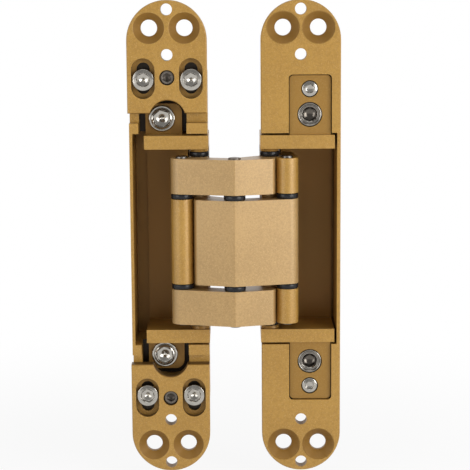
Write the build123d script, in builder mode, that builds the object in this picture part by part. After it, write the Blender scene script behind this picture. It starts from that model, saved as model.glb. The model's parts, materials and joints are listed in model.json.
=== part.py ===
"""Concealed door hinge with three-way adjustment, laid open flat.

The frame stands on the jamb leaf: the origin is the centre of that leaf's screw pattern, on the
plane where its end plates seat in the door frame. +X runs across to the door leaf, +Y goes into the
wood, +Z is up along the leaf. Depths are measured from the visible faces of the leaves, into the
wood. The arms, links and pins are drawn as seen from above, from the plane midway between the leaves.
"""
import os
from math import asin, atan2, cos, hypot, pi, radians, sin, tan

from build123d import *

# Leaves
leaf_length = 160.0
leaf_width = 26.6
leaf_gap = 17.75
plate_thickness = 4.4
edge_break = 0.3

# Fixing holes at each leaf end, measured from that end
screw_row_x = 5.87
screw_end = 9.2
screw_hole_d = 5.5
screw_sink_d = 10.4
screw_sink_angle = 90.0
door_lip_d = 11.0
door_lip_depth = 0.35
pilot_hole_d = 3.9
tip_hole_end = 3.1
inner_hole_end = 18.0

# Jamb end plates, their slots and grub screws measured from the leaf's end
plate_length = 37.3
plate_gap = 0.8
notch_r = 6.0
notch_out = 1.7
slot_x = 7.95
slot_end = 25.75
slot_width = 7.8
slot_depth = 2.7
grub_end = 25.5
grub_d = 5.0
grub_length = 3.0
grub_sunk = 1.1
grub_hex = 2.5

# Height adjustment, whose clamp screws stand a little towards the middle of their slots
height_travel = 2.5
clamp_inset = 0.5
clamp_shank_d = 4.0
clamp_head_d = 7.3
clamp_head_height = 2.2
clamp_hex = 4.0
clamp_reach = 6.0

# Jamb cup
cup_setback = 0.5
rim_wall = 1.0
floor_wall = 1.6
shoulder_height = 3.5
tongue_hole_gap = 0.45
tongue_corner_r = 4.0
tongue_thickness = 9.5
cup_corner_r = 5.0
tab_slot_left = 9.75
tab_slot_right = 6.3
tab_slot_gap = 1.9

# Socket heads: rounded rim, height of a flange, depth of the socket
head_edge_r = 0.3
flange_share = 0.35
socket_share = 0.6

# Every hexagon socket: flared mouth and drilled end
socket_flare = 0.1
drill_share = 0.95
drill_angle = 30.0

# Side adjustment
side_travel = 1.4
side_shank_d = 5.0
side_head_d = 8.8
side_head_height = 2.25
side_flange = 0.9
side_hex = 5.0
side_reach = 4.0
side_screw_x = -2.1
side_screw_out = 5.3

# Jamb yoke: its tabs and screws are measured from the outer sides of its cheeks
jamb_yoke_gap = 3.9
yoke_proud = 0.2
cheek_gap = 0.7
cheek_thickness = 4.54
boss_height = 0.96
web_thickness = 1.4
jamb_tab_left = 7.6
jamb_tab_right = 4.65
jamb_tab_reach = 10.3
jamb_tab_thickness = 3.0
jamb_tab_corner_r = 3.0

# Door housing and yoke
window_left = 4.0
window_right = 10.3
window_reach = 20.1
window_wall = 3.2
window_corner_r = 1.3
housing_setback = 0.2
block_depth = 14.0
block_corner_r = 4.0
door_yoke_gap = 0.8
door_tab_sunk = 1.0
door_tab_thickness = 3.6
door_tab_gap = 0.3
depth_travel = 1.0

# Depth adjusters and their lock screws, measured from the end of the window
adjuster_x = 3.0
adjuster_in = 13.3
adjuster_d = 8.2
adjuster_journal_d = 3.6
adjuster_rivet_d = 5.0
adjuster_rivet_height = 0.8
adjuster_hex = 4.0
adjuster_dish_d = 6.8
adjuster_dish_depth = 0.5
lock_in = 4.8
lock_shank_d = 3.0
lock_head_d = 5.5
lock_head_height = 1.65
lock_head_sunk = 1.4
lock_hex = 2.5
lock_reach = 3.5

# Faces of the two leaves when the hinge is shut
closed_gap = 5.0

# Pivots, seen from above: inset from the leaf's inner edge, and depth from its face
arm_pivot_inset = 2.9
arm_pivot_depth = 4.2
link_knuckle_inset = 8.7
link_knuckle_depth = -0.8
link_root_inset = 5.5
link_root_depth = 12.9
centre_depth = -5.8

# Where an arm's root comes, seen from the link beside it, when the hinge is half folded
root_pass_inset = -0.4
root_pass_depth = 9.9

# Arms and links
ridge_depth = -9.3
ridge_r = 0.7
roof_angle = 17.0
shoulder_x = 13.2
shoulder_r = 1.4
centre_barrel_r = 3.2
knuckle_r = 3.7
arm_root_r = 3.0
eye_wall = 1.4
eye_travel = 2.8
eye_play = 0.5
eye_slope = 36.8

# Stack along the pins
centre_share = 0.5125
washer_thickness = 1.65
boss_washer_thickness = 1.6
axial_gap = 0.1

# Pins and washers
centre_pin_d = 4.2
knuckle_pin_d = 4.0
arm_pin_d = 3.5
link_pin_d = 3.0
centre_washer_d = 7.2
knuckle_washer_d = 7.3
boss_washer_d = 6.6
pin_chamfer = 0.3
centre_pin_proud = 0.7
knuckle_pin_proud = 0.8

# Clearances
pin_clearance = 0.05
screw_clearance = 0.02
slide_clearance = 0.1
tab_clearance = 0.25
swing_clearance = 0.45
floor_clearance = 0.2

# Places worked out from the sizes above
mid_x = (leaf_width + leaf_gap) / 2
door_x = leaf_width + leaf_gap
leaf_edge = leaf_width / 2
half_gap = leaf_gap / 2
face_y = -plate_thickness

# Along the leaf: from its end to the cup's shoulder, the yokes' cheeks and the arms between them
half_length = leaf_length / 2
screw_z = half_length - screw_end
tip_hole_z = half_length - tip_hole_end
inner_hole_z = half_length - inner_hole_end
slot_z = half_length - slot_end
clamp_z = slot_z - clamp_inset
grub_z = half_length - grub_end
plate_inner_z = half_length - plate_length
notch_z = plate_inner_z - notch_out
shoulder_end_z = plate_inner_z - height_travel - plate_gap
cavity_end_z = shoulder_end_z - shoulder_height
cheek_outer_z = cavity_end_z - cheek_gap
cheek_inner_z = cheek_outer_z - cheek_thickness
boss_face_z = cheek_inner_z - boss_height
stack_half = boss_face_z - boss_washer_thickness - 2 * axial_gap
centre_half = stack_half * centre_share
lobe_start = centre_half + washer_thickness + 2 * axial_gap
lobe_height = stack_half - lobe_start
boss_r = arm_pivot_inset + yoke_proud

# Ends of the tongues, tabs and windows
tongue_end_z = inner_hole_z - pilot_hole_d / 2 - tongue_hole_gap
side_screw_z = cheek_outer_z + side_screw_out
jamb_tab_end_z = cheek_outer_z + jamb_tab_reach
tab_slot_end_z = jamb_tab_end_z + tab_slot_gap
window_end_z = cheek_outer_z + window_reach
adjuster_z = window_end_z - adjuster_in
lock_z = window_end_z - lock_in
block_end_z = window_end_z + window_wall
door_tab_end_z = window_end_z - door_tab_gap

# The arms' roofed front falls from the ridge to a shoulder over each arm's root
roof_slope = radians(roof_angle)
roof_run = (shoulder_x - shoulder_r - (ridge_r - shoulder_r) * sin(roof_slope)) / cos(roof_slope)
shoulder_depth = (
    ridge_depth + ridge_r + roof_run * sin(roof_slope) - (ridge_r - shoulder_r) * cos(roof_slope)
)

jamb_arm_pivot = (-half_gap - arm_pivot_inset, arm_pivot_depth)
jamb_knuckle = (-half_gap - link_knuckle_inset, link_knuckle_depth)
jamb_link_root = (-half_gap - link_root_inset, link_root_depth)
centre_pivot = (0.0, centre_depth)

door_arm_pivot = (-jamb_arm_pivot[0], jamb_arm_pivot[1])
door_knuckle = (-jamb_knuckle[0], jamb_knuckle[1])
door_link_root = (-jamb_link_root[0], jamb_link_root[1])

# The shut hinge turns one arm by its swing and the other by the rest of the half turn.
# Its knuckle then reaches deepest into the leaf, so it sets the depth of the yokes.
arm_rise = arm_pivot_depth - centre_depth
arm_run = half_gap + arm_pivot_inset
arm_swing = atan2(arm_rise, -arm_run) - asin((arm_pivot_depth + closed_gap / 2) / hypot(arm_rise, arm_run))
arm_turn = pi - arm_swing
folded_knuckle_depth = (
    (half_gap + link_knuckle_inset) * sin(arm_turn)
    + (link_knuckle_depth - centre_depth) * cos(arm_turn)
    - closed_gap / 2
)
web_front = folded_knuckle_depth + knuckle_r + swing_clearance
web_back = web_front + web_thickness
jamb_floor = web_back + floor_clearance
jamb_cup_depth = jamb_floor + floor_wall
door_floor = web_back + depth_travel + floor_clearance
door_cup_depth = door_floor + floor_wall

tongue_top = plate_thickness + slide_clearance
tongue_back = tongue_top + tongue_thickness
jamb_tab_top = tongue_top + side_head_height + slide_clearance
jamb_tab_back = jamb_tab_top + jamb_tab_thickness
door_tab_back = door_tab_sunk + door_tab_thickness
window_floor = door_tab_back + depth_travel + floor_clearance

jamb_face = Plane(origin=(0, face_y, 0), x_dir=(1, 0, 0), z_dir=(0, -1, 0))
door_face = Plane(origin=(door_x, face_y, 0), x_dir=(1, 0, 0), z_dir=(0, -1, 0))
above = Plane(origin=(mid_x, face_y, 0), x_dir=(1, 0, 0), z_dir=(0, 0, 1))

fixing_points = [(x, z) for x in (-screw_row_x, screw_row_x) for z in (-screw_z, screw_z)]
pilot_points = [(0, z) for z in (-tip_hole_z, -inner_hole_z, inner_hole_z, tip_hole_z)]
slot_points = [(-slot_x, slot_z), (slot_x, slot_z)]
clamp_points = [(x, z) for x in (-slot_x, slot_x) for z in (-clamp_z, clamp_z)]


def hull_outline(circles):
    """The tight outline around a set of circles, each given by its centre and radius."""
    with BuildSketch() as outline:
        for centre, radius in circles:
            with Locations(centre):
                Circle(radius)
        make_hull()
    return outline.sketch


def discs(centres, radius, plane):
    """Equal discs about several centres."""
    with BuildSketch(plane) as drawn:
        with Locations(*centres):
            Circle(radius)
    return drawn.sketch


def save(piece, name):
    """Label a finished piece and write it to its own file."""
    piece.label = name
    export_step(piece, f"parts/{name}.step")


def hexagon(flats, plane):
    """A hexagon of a width across its flats."""
    with BuildSketch(plane) as drawn:
        RegularPolygon(flats / 2, 6, major_radius=False)
    return drawn.sketch


def cut_socket(flats, depth, mouth):
    """Cut a hexagon socket down from a plane, with a flared mouth and a drilled end."""
    mouth_r = flats / (2 * cos(pi / 6)) + socket_flare
    drill_r = drill_share * flats / 2
    hung = (Align.CENTER, Align.CENTER, Align.MAX)
    extrude(hexagon(flats, mouth), amount=-depth, mode=Mode.SUBTRACT)
    with Locations(mouth):
        Cone(flats / 2, mouth_r, mouth_r - flats / 2, align=hung, mode=Mode.SUBTRACT)
    with Locations(mouth.offset(-depth)):
        Cone(0, drill_r, drill_r * tan(radians(drill_angle)), align=hung, mode=Mode.SUBTRACT)


def socket_screw(head_d, head_height, shank_d, reach, hex_size, flange=0.0):
    """A flat-topped socket screw that seats at height 0 with its shank downwards."""
    steps = [(head_d / 2 - flange, head_height)]
    if flange:
        steps.insert(0, (head_d / 2, head_height * flange_share))
    with BuildPart() as screw:
        with BuildSketch():
            Circle(shank_d / 2)
        extrude(amount=-reach)
        for radius, height in steps:
            with BuildSketch():
                Circle(radius)
            extrude(amount=height)
            fillet(screw.edges().group_by(Axis.Z)[-1], head_edge_r)
        cut_socket(hex_size, head_height * socket_share, Plane.XY.offset(head_height))
    return screw.part


def pin_bores(pins, half_length, clearance):
    """Cut the holes for a set of upright pins, each given by its centre and diameter."""
    for centre, pin_d in pins:
        extrude(discs([centre], pin_d / 2 + clearance, above), amount=half_length, both=True,
                mode=Mode.SUBTRACT)


def pivot_bosses(centre):
    """Add the round bosses on the inner sides of a yoke's cheeks, at its arm pivot."""
    extrude(discs([centre], boss_r, above.offset(boss_face_z)), amount=boss_height)
    extrude(discs([centre], boss_r, above.offset(-boss_face_z)), amount=-boss_height)


def arm_flank(root, margin=0.0):
    """The circles at the root end of an arm: its front shoulder and its pivot barrel."""
    side = 1 if root[0] > 0 else -1
    shoulder = (side * (shoulder_x - shoulder_r), shoulder_depth)
    return [(shoulder, shoulder_r + margin), (root, arm_root_r + margin)]


def arm_outline(knuckle, root, level):
    """An arm from above: a roofed front over the centre pivot, a knuckle, and a root at its pivot.

    Two hollows clear the other arm's root and the link's knuckle beside this arm's root.
    """
    ridge = ((0, ridge_depth + ridge_r), ridge_r)
    barrel = (centre_pivot, centre_barrel_r)
    with BuildSketch(level) as outline:
        add(hull_outline([ridge, barrel, (knuckle, knuckle_r)]))
        add(hull_outline([ridge, barrel] + arm_flank(root)))
        with Locations((-root[0], root[1])):
            Circle(arm_root_r + swing_clearance, mode=Mode.SUBTRACT)
        with Locations((-knuckle[0], knuckle[1])):
            Circle(knuckle_r + swing_clearance, mode=Mode.SUBTRACT)
    return outline.sketch


def link_outline(knuckle, root, arm_root, level):
    """A link from above: a knuckle, a long eye at its root, and a hollow that clears the arm.

    The hollow follows the arm's flank at rest and the way its root passes as the hinge folds.
    """
    side = 1 if root[0] > 0 else -1
    passing = (side * (half_gap + root_pass_inset), root_pass_depth)
    cleared_r = arm_root_r + swing_clearance
    slope = radians(eye_slope)
    eye_end = (root[0] + side * eye_travel * cos(slope), root[1] + eye_travel * sin(slope))
    eye_r = link_pin_d / 2 + eye_play
    with BuildSketch(level) as outline:
        add(hull_outline([(knuckle, knuckle_r), (root, eye_r + eye_wall), (eye_end, eye_r + eye_wall)]))
        add(hull_outline(arm_flank(arm_root, swing_clearance)), mode=Mode.SUBTRACT)
        add(hull_outline([(arm_root, cleared_r), (passing, cleared_r)]), mode=Mode.SUBTRACT)
        with Locations(knuckle):
            Circle(knuckle_r)
            Circle(knuckle_pin_d / 2 + pin_clearance, mode=Mode.SUBTRACT)
        add(hull_outline([(root, eye_r), (eye_end, eye_r)]), mode=Mode.SUBTRACT)
    return outline.sketch


def straight_pin(centre, radius, half_length, name):
    """A round pin with broken ends, standing across the hinge at mid-height."""
    with BuildPart() as pin:
        extrude(discs([centre], radius, above), amount=half_length, both=True)
        chamfer(pin.edges(), pin_chamfer)
    save(pin.part, name)


def washer_pair(centre, outer_d, bore_d, start, thickness, name):
    """Two flat washers on one pin, one in each half of the hinge."""
    level = above.offset(start)
    with BuildPart() as pair:
        extrude(discs([centre], outer_d / 2, level), amount=thickness)
        extrude(discs([centre], bore_d / 2, level), amount=thickness, mode=Mode.SUBTRACT)
        mirror(about=Plane.XY)
    save(pair.part, name)


os.makedirs("parts", exist_ok=True)

# Jamb end plates: rounded end, arched inner edge, slots for the clamp screws
slot_run = 2 * (height_travel + clamp_inset)
slot_length = slot_run + clamp_head_d + slide_clearance
shank_room = clamp_shank_d + 4 * slide_clearance
with BuildPart() as end_plate:
    with BuildSketch(jamb_face):
        SlotOverall(leaf_length, leaf_width, rotation=90)
        with Locations((0, plate_inner_z + plate_length / 2)):
            Rectangle(leaf_width, plate_length, mode=Mode.INTERSECT)
        with Locations((0, notch_z)):
            Circle(notch_r, mode=Mode.SUBTRACT)
    extrude(amount=-plate_thickness)
    chamfer(end_plate.faces().sort_by(Axis.Y)[0].outer_wire().edges(), edge_break)
    with BuildSketch(jamb_face):
        with Locations(*slot_points):
            SlotOverall(slot_length, slot_width, rotation=90)
    extrude(amount=-slot_depth, mode=Mode.SUBTRACT)
    with BuildSketch(jamb_face):
        with Locations(*slot_points):
            SlotOverall(slot_run + shank_room, shank_room, rotation=90)
    extrude(amount=-plate_thickness, mode=Mode.SUBTRACT)
    with Locations(jamb_face):
        with Locations(*[point for point in fixing_points if point[1] > 0]):
            CounterSinkHole(screw_hole_d / 2, screw_sink_d / 2, counter_sink_angle=screw_sink_angle)
        with Locations(*[point for point in pilot_points if point[1] > 0]):
            Hole(pilot_hole_d / 2)
        with Locations((0, grub_z)):
            Hole(grub_d / 2 + screw_clearance)
save(end_plate.part, "jamb_end_plate_top")

with BuildPart() as end_plate_bottom:
    mirror(end_plate.part, about=Plane.XY)
save(end_plate_bottom.part, "jamb_end_plate_bottom")

# Grub screws in the middle of the end plates
with BuildPart() as grub_screws:
    for z in (grub_z, -grub_z):
        top = Plane(origin=(0, face_y + grub_sunk, z), x_dir=(1, 0, 0), z_dir=(0, -1, 0))
        extrude(discs([(0, 0)], grub_d / 2, top), amount=-grub_length)
        cut_socket(grub_hex, grub_length / 2, top)
save(grub_screws.part, "plate_grub_screws")

# Jamb cup: shoulders flush with the plates, tongues under them, cavity open towards the door
cup_width = leaf_width - cup_setback
cup_x = cup_setback / 2
cup_left = -leaf_edge + cup_setback
tab_slot_width = tab_slot_left + tab_slot_right
tab_slot_x = (tab_slot_right - tab_slot_left) / 2
with BuildPart() as jamb_cup:
    with BuildSketch(jamb_face):
        with Locations((cup_x, 0)):
            Rectangle(cup_width, 2 * shoulder_end_z)
    extrude(amount=-tongue_back)
    with BuildSketch(jamb_face.offset(-tongue_top)):
        with Locations((cup_x, 0)):
            RectangleRounded(cup_width, 2 * tongue_end_z, tongue_corner_r)
    extrude(amount=-tongue_thickness)
    with BuildSketch(jamb_face.offset(-tongue_back)):
        with Locations((cup_x, 0)):
            RectangleRounded(cup_width, 2 * shoulder_end_z, cup_corner_r)
    extrude(amount=tongue_back - jamb_cup_depth)
    with BuildSketch(jamb_face):
        with Locations((cup_left + rim_wall, 0)):
            Rectangle(leaf_width, 2 * cavity_end_z, align=(Align.MIN, Align.CENTER))
    extrude(amount=-jamb_floor, mode=Mode.SUBTRACT)
    with BuildSketch(jamb_face):
        with Locations((tab_slot_x, 0)):
            Rectangle(tab_slot_width, 2 * tab_slot_end_z)
    extrude(amount=-jamb_tab_back, mode=Mode.SUBTRACT)
    with Locations(jamb_face.offset(-tongue_top)):
        with Locations(*clamp_points):
            Hole(clamp_shank_d / 2 + screw_clearance, depth=tongue_thickness)
    with Locations(jamb_face.offset(-jamb_tab_back)):
        with Locations((side_screw_x, side_screw_z), (side_screw_x, -side_screw_z)):
            Hole(side_shank_d / 2 + screw_clearance, depth=side_reach + slide_clearance)
save(jamb_cup.part, "jamb_cup")

# Screws that clamp the height and the side adjustment
clamp_seat = slot_depth
clamp_length = tongue_top - clamp_seat + clamp_reach
clamp_screw = socket_screw(clamp_head_d, clamp_head_height, clamp_shank_d, clamp_length, clamp_hex)
with BuildPart() as height_clamp_screws:
    with Locations(jamb_face.offset(-clamp_seat)):
        with Locations(*clamp_points):
            add(clamp_screw)
save(height_clamp_screws.part, "height_clamp_screws")

side_length = jamb_tab_thickness + side_reach
side_screw = socket_screw(side_head_d, side_head_height, side_shank_d, side_length, side_hex, side_flange)
with BuildPart() as side_clamp_screws:
    with Locations(jamb_face.offset(-jamb_tab_top)):
        with Locations((side_screw_x, side_screw_z), (side_screw_x, -side_screw_z)):
            add(side_screw)
save(side_clamp_screws.part, "side_clamp_screws")

# Jamb yoke: two cheeks on a back web, with bosses at the arm pivot and a tab at each end
jamb_yoke_right = leaf_edge + yoke_proud
jamb_yoke_length = jamb_yoke_right - (cup_left + rim_wall + jamb_yoke_gap)
jamb_tab_x = (jamb_tab_right - jamb_tab_left) / 2
side_hole_d = side_shank_d + 2 * slide_clearance
with BuildPart() as jamb_yoke:
    with BuildSketch(jamb_face):
        with Locations((jamb_yoke_right, 0)):
            Rectangle(jamb_yoke_length, 2 * cheek_outer_z, align=(Align.MAX, Align.CENTER))
    extrude(amount=-web_back)
    with BuildSketch(jamb_face):
        with Locations((jamb_yoke_right, 0)):
            Rectangle(jamb_yoke_length, 2 * cheek_inner_z, align=(Align.MAX, Align.CENTER))
    extrude(amount=-web_front, mode=Mode.SUBTRACT)
    with BuildSketch(jamb_face.offset(-jamb_tab_top)):
        with Locations((jamb_tab_x, 0)):
            RectangleRounded(jamb_tab_left + jamb_tab_right, 2 * jamb_tab_end_z, jamb_tab_corner_r)
            Rectangle(leaf_width, 2 * cheek_inner_z, mode=Mode.SUBTRACT)
    extrude(amount=-jamb_tab_thickness)
    with BuildSketch(jamb_face.offset(-jamb_tab_top)):
        with Locations((side_screw_x, side_screw_z), (side_screw_x, -side_screw_z)):
            SlotCenterToCenter(2 * side_travel, side_hole_d)
    extrude(amount=-jamb_tab_thickness, mode=Mode.SUBTRACT)
    pivot_bosses(jamb_arm_pivot)
    pin_bores(((jamb_arm_pivot, arm_pin_d), (jamb_link_root, link_pin_d)), cheek_outer_z, screw_clearance)
save(jamb_yoke.part, "jamb_yoke")

# Door housing: face plate and cup in one casting, with a window at each end for the yoke's tabs
window_width = window_left + window_right
window_x = (window_right - window_left) / 2
housing_width = leaf_width - 2 * housing_setback
adjuster_points = [(adjuster_x, adjuster_z), (adjuster_x, -adjuster_z)]
lock_points = [(adjuster_x, lock_z), (adjuster_x, -lock_z)]
lock_hole_depth = lock_reach - (window_floor - door_tab_back) + depth_travel + floor_clearance
rivet_sunk = adjuster_rivet_height + slide_clearance
with BuildPart() as door_housing:
    with BuildSketch(door_face):
        SlotOverall(leaf_length, leaf_width, rotation=90)
    extrude(amount=-plate_thickness)
    chamfer(door_housing.faces().sort_by(Axis.Y)[0].outer_wire().edges(), edge_break)
    with BuildSketch(door_face.offset(-plate_thickness)):
        RectangleRounded(housing_width, 2 * block_end_z, block_corner_r)
    extrude(amount=plate_thickness - block_depth)
    with BuildSketch(door_face.offset(-block_depth)):
        RectangleRounded(housing_width, 2 * shoulder_end_z, cup_corner_r)
    extrude(amount=block_depth - door_cup_depth)
    with BuildSketch(door_face):
        with Locations((leaf_edge - housing_setback - rim_wall, 0)):
            Rectangle(leaf_width, 2 * cavity_end_z, align=(Align.MAX, Align.CENTER))
    extrude(amount=-door_floor, mode=Mode.SUBTRACT)
    with BuildSketch(door_face):
        with Locations((window_x, 0)):
            RectangleRounded(window_width, 2 * window_end_z, window_corner_r)
    extrude(amount=-window_floor, mode=Mode.SUBTRACT)
    with BuildSketch(door_face):
        with Locations(*fixing_points):
            Circle(door_lip_d / 2)
    extrude(amount=-door_lip_depth, mode=Mode.SUBTRACT)
    with Locations(door_face.offset(-door_lip_depth)):
        with Locations(*fixing_points):
            CounterSinkHole(screw_hole_d / 2, screw_sink_d / 2, counter_sink_angle=screw_sink_angle)
    with Locations(door_face):
        with Locations(*pilot_points):
            Hole(pilot_hole_d / 2)
    with Locations(door_face.offset(-window_floor)):
        with Locations(*adjuster_points):
            Hole(adjuster_journal_d / 2 + pin_clearance, depth=block_depth - window_floor)
        with Locations(*lock_points):
            Hole(lock_shank_d / 2 + tab_clearance, depth=lock_hole_depth)
    with BuildSketch(door_face.offset(-block_depth)):
        with Locations(*adjuster_points):
            Circle(adjuster_rivet_d / 2 + slide_clearance)
    extrude(amount=rivet_sunk, mode=Mode.SUBTRACT)
save(door_housing.part, "door_housing")

# Door yoke: as the jamb yoke, with longer cheeks and tabs that fill the windows
door_yoke_left = -leaf_edge - yoke_proud
door_yoke_length = leaf_edge - housing_setback - rim_wall - door_yoke_gap - door_yoke_left
with BuildPart() as door_yoke:
    with BuildSketch(door_face):
        with Locations((door_yoke_left, 0)):
            Rectangle(door_yoke_length, 2 * cheek_outer_z, align=(Align.MIN, Align.CENTER))
    extrude(amount=-web_back)
    with BuildSketch(door_face):
        with Locations((door_yoke_left, 0)):
            Rectangle(door_yoke_length, 2 * cheek_inner_z, align=(Align.MIN, Align.CENTER))
    extrude(amount=-web_front, mode=Mode.SUBTRACT)
    with BuildSketch(door_face.offset(-door_tab_sunk)):
        with Locations((window_x, 0)):
            RectangleRounded(window_width - 2 * tab_clearance, 2 * door_tab_end_z, window_corner_r)
            Rectangle(leaf_width, 2 * cheek_inner_z, mode=Mode.SUBTRACT)
    extrude(amount=-door_tab_thickness)
    with BuildSketch(door_face.offset(-door_tab_sunk)):
        with Locations(*adjuster_points):
            Circle(adjuster_d / 2 + pin_clearance)
        with Locations(*lock_points):
            Circle(lock_shank_d / 2 + screw_clearance)
    extrude(amount=-door_tab_thickness, mode=Mode.SUBTRACT)
    with BuildSketch(door_face.offset(-door_tab_sunk)):
        with Locations(*lock_points):
            Circle(lock_head_d / 2 + slide_clearance)
    extrude(amount=-lock_head_sunk, mode=Mode.SUBTRACT)
    pivot_bosses(door_arm_pivot)
    pin_bores(((door_arm_pivot, arm_pin_d), (door_link_root, link_pin_d)), cheek_outer_z, screw_clearance)
save(door_yoke.part, "door_yoke")

# Depth adjusters: a broad collar through the tab on a journal riveted into the housing
collar_height = window_floor - door_tab_sunk
for name, (x, z) in zip(("depth_adjuster_top", "depth_adjuster_bottom"), adjuster_points):
    seat = Plane(origin=(door_x + x, face_y + window_floor, z), x_dir=(1, 0, 0), z_dir=(0, -1, 0))
    journal = block_depth - window_floor
    with BuildPart() as adjuster:
        with BuildSketch(seat):
            Circle(adjuster_d / 2)
        extrude(amount=collar_height)
        with BuildSketch(seat):
            Circle(adjuster_journal_d / 2)
        extrude(amount=-journal)
        with BuildSketch(seat.offset(-journal)):
            Circle(adjuster_rivet_d / 2)
        extrude(amount=adjuster_rivet_height)
        with BuildSketch(seat.offset(collar_height)):
            Circle(adjuster_dish_d / 2)
        extrude(amount=-adjuster_dish_depth, mode=Mode.SUBTRACT)
        cut_socket(adjuster_hex, collar_height / 2, seat.offset(collar_height - adjuster_dish_depth))
    save(adjuster.part, name)

# Screws that lock the depth
lock_length = door_tab_thickness - lock_head_sunk + lock_reach
lock_screw = socket_screw(lock_head_d, lock_head_height, lock_shank_d, lock_length, lock_hex)
with BuildPart() as depth_lock_screws:
    with Locations(door_face.offset(-door_tab_sunk - lock_head_sunk)):
        with Locations(*lock_points):
            add(lock_screw)
save(depth_lock_screws.part, "depth_lock_screws")

# Arms: a centre arm, and a forked outer arm joined by the long barrel at its root
with BuildPart() as outer_arm:
    extrude(arm_outline(jamb_knuckle, door_arm_pivot, above.offset(lobe_start)), amount=lobe_height)
    mirror(about=Plane.XY)
    extrude(discs([door_arm_pivot], arm_root_r, above), amount=stack_half, both=True)
    pin_bores(((jamb_knuckle, knuckle_pin_d), (centre_pivot, centre_pin_d), (door_arm_pivot, arm_pin_d)),
              stack_half, pin_clearance)
save(outer_arm.part, "outer_arm")

with BuildPart() as centre_arm:
    extrude(arm_outline(door_knuckle, jamb_arm_pivot, above), amount=centre_half, both=True)
    extrude(discs([jamb_arm_pivot], arm_root_r, above), amount=stack_half, both=True)
    pin_bores(((door_knuckle, knuckle_pin_d), (centre_pivot, centre_pin_d), (jamb_arm_pivot, arm_pin_d)),
              stack_half, pin_clearance)
save(centre_arm.part, "centre_arm")

# Links: one between the lobes of the outer arm, two beside the centre arm
with BuildPart() as centre_link:
    extrude(link_outline(jamb_knuckle, jamb_link_root, jamb_arm_pivot, above), amount=centre_half, both=True)
save(centre_link.part, "centre_link")

with BuildPart() as outer_link_upper:
    level = above.offset(lobe_start)
    extrude(link_outline(door_knuckle, door_link_root, door_arm_pivot, level), amount=lobe_height)
save(outer_link_upper.part, "outer_link_upper")

with BuildPart() as outer_link_lower:
    mirror(outer_link_upper.part, about=Plane.XY)
save(outer_link_lower.part, "outer_link_lower")

# Pins
straight_pin(centre_pivot, centre_pin_d / 2, stack_half + centre_pin_proud, "centre_pin")
straight_pin(jamb_knuckle, knuckle_pin_d / 2, stack_half + knuckle_pin_proud, "centre_link_pin")
straight_pin(door_knuckle, knuckle_pin_d / 2, stack_half + knuckle_pin_proud, "outer_link_pin")
straight_pin(jamb_arm_pivot, arm_pin_d / 2, cheek_outer_z, "jamb_arm_pin")
straight_pin(door_arm_pivot, arm_pin_d / 2, cheek_outer_z, "door_arm_pin")
straight_pin(jamb_link_root, link_pin_d / 2, cheek_outer_z, "jamb_link_pin")
straight_pin(door_link_root, link_pin_d / 2, cheek_outer_z, "door_link_pin")

# Washers
between = centre_half + axial_gap
under_boss = stack_half + axial_gap
for centre, outer_d, pin_d, start, thickness, name in (
    (centre_pivot, centre_washer_d, centre_pin_d, between, washer_thickness, "centre_washers"),
    (jamb_knuckle, knuckle_washer_d, knuckle_pin_d, between, washer_thickness, "centre_link_washers"),
    (door_knuckle, knuckle_washer_d, knuckle_pin_d, between, washer_thickness, "outer_link_washers"),
    (jamb_arm_pivot, boss_washer_d, arm_pin_d, under_boss, boss_washer_thickness, "jamb_boss_washers"),
    (door_arm_pivot, boss_washer_d, arm_pin_d, under_boss, boss_washer_thickness, "door_boss_washers"),
):
    washer_pair(centre, outer_d, pin_d + 2 * pin_clearance, start, thickness, name)
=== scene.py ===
"""Looks of a concealed door hinge that lies open flat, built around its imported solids."""

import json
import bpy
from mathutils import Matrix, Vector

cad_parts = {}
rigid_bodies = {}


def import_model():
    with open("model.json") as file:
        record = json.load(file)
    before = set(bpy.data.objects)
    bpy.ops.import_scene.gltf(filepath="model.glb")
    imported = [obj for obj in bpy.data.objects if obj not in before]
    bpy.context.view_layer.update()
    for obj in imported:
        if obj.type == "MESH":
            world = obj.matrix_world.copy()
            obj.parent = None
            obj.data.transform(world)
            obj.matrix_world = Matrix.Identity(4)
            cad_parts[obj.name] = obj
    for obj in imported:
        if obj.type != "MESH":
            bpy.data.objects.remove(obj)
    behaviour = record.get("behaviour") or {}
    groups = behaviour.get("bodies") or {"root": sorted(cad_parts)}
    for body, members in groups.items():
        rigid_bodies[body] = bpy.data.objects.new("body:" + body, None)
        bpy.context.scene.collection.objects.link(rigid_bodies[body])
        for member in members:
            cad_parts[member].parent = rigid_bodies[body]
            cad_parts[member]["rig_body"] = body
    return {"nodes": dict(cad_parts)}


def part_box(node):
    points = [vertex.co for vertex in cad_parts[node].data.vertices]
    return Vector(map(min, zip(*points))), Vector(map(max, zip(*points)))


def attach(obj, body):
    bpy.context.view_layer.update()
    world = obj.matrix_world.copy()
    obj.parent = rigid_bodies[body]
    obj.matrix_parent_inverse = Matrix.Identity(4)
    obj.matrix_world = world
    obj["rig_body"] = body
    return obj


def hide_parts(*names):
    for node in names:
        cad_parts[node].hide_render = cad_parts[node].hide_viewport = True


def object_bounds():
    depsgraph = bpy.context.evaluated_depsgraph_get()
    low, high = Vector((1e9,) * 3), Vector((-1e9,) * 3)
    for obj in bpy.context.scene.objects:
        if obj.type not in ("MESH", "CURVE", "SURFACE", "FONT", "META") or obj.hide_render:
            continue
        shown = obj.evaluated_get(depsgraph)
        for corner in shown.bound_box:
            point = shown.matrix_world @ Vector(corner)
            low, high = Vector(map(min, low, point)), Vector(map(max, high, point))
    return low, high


bl_info = {
    "name": "Concealed Door Hinge",
    "version": (1, 0, 0),
    "blender": (4, 5, 0),
    "location": "3D View > Sidebar > Hinge",
    "description": "Finishes the castings, screws, pins and washers of a concealed hinge and sets its studio",
    "category": "Object",
}

from math import cos, pi, radians, sin, sqrt, tan

import bpy
from mathutils import Matrix, Quaternion, Vector

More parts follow.
